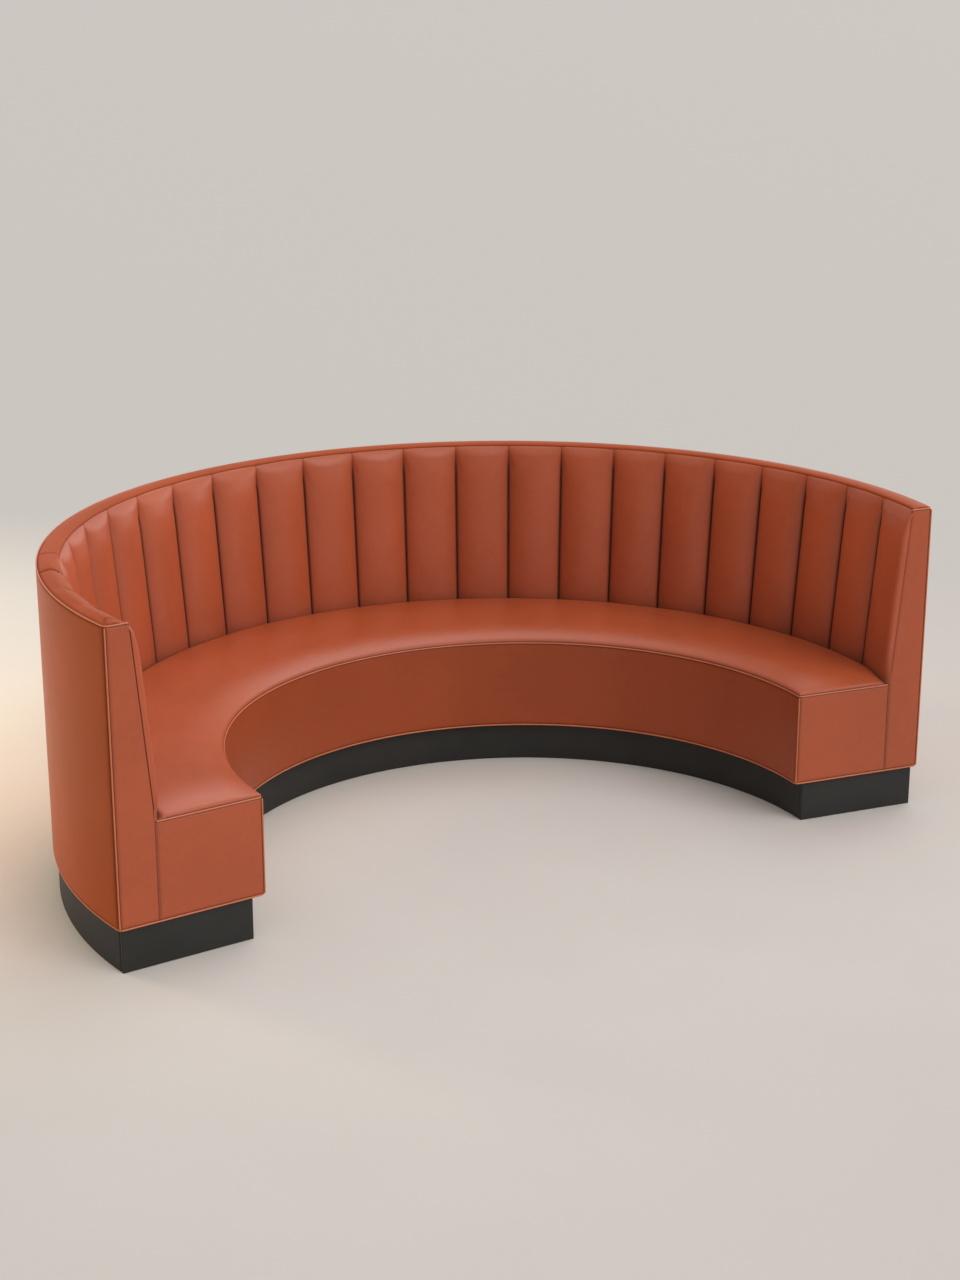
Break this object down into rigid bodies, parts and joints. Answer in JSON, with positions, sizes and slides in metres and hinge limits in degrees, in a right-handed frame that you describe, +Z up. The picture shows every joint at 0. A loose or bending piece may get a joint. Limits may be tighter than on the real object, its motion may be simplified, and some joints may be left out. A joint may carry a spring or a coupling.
{
  "type": "booth seating",
  "caption": "Horseshoe restaurant booth seat with a tall channelled backrest, a crowned seat that is deepest in the middle, welted leather edges and a recessed black plinth.",
  "frame": {"origin": "middle of the footprint's bounding box, on the floor", "axes": "+X along the width, to the right as seen from the open side; +Y towards the middle of the back; +Z up"},
  "size_m": [2.9516, 1.7749, 1.067],
  "materials": {
    "leather": "satin, rust brown, fine grain",
    "welt_leather": "satin, rust brown, a little lighter where it is worn",
    "plinth_black": "matt charcoal paint over plywood",
    "plywood": "bare birch plywood",
    "timber": "bare softwood",
    "foam": "bare upholstery foam",
    "steel": "zinc-plated"
  },
  "bodies": {
    "root": {"plinth_front": "plinth_black", "plinth_back": "plinth_black", "plinth_end_left": "plinth_black", "plinth_end_right": "plinth_black", "base_board": "plywood", "frame_ribs": "plywood", "end_gable_left": "plywood", "end_gable_right": "plywood", "seat_deck": "plywood", "seat_front_ply": "plywood", "back_inner_ply": "plywood", "back_outer_ply": "plywood", "plinth_spreaders": "timber", "seat_front_rail": "timber", "lower_back_rail": "timber", "top_rail": "timber", "back_foam": "foam", "seat_foam": "foam", "base_screws": "steel", "seat_cushion": "leather", "top_band": "leather", "outer_back_cover": "leather", "seat_front_cover": "leather", "seat_end_cover_left": "leather", "seat_end_cover_right": "leather", "back_end_cover_left": "leather", "back_end_cover_right": "leather", "channel_01": "leather", "channel_02": "leather", "channel_03": "leather", "channel_04": "leather", "channel_05": "leather", "channel_06": "leather", "channel_07": "leather", "channel_08": "leather", "channel_09": "leather", "channel_10": "leather", "channel_11": "leather", "channel_12": "leather", "channel_13": "leather", "channel_14": "leather", "channel_15": "leather", "channel_16": "leather", "channel_17": "leather", "channel_18": "leather", "channel_19": "leather", "channel_20": "leather", "channel_21": "leather", "channel_22": "leather", "channel_23": "leather", "channel_24": "leather", "channel_25": "leather", "bottom_welt": "welt_leather", "top_welt": "welt_leather", "seat_welt": "welt_leather", "end_welts_left": "welt_leather", "end_welts_right": "welt_leather"}
  },
  "joints": []
}
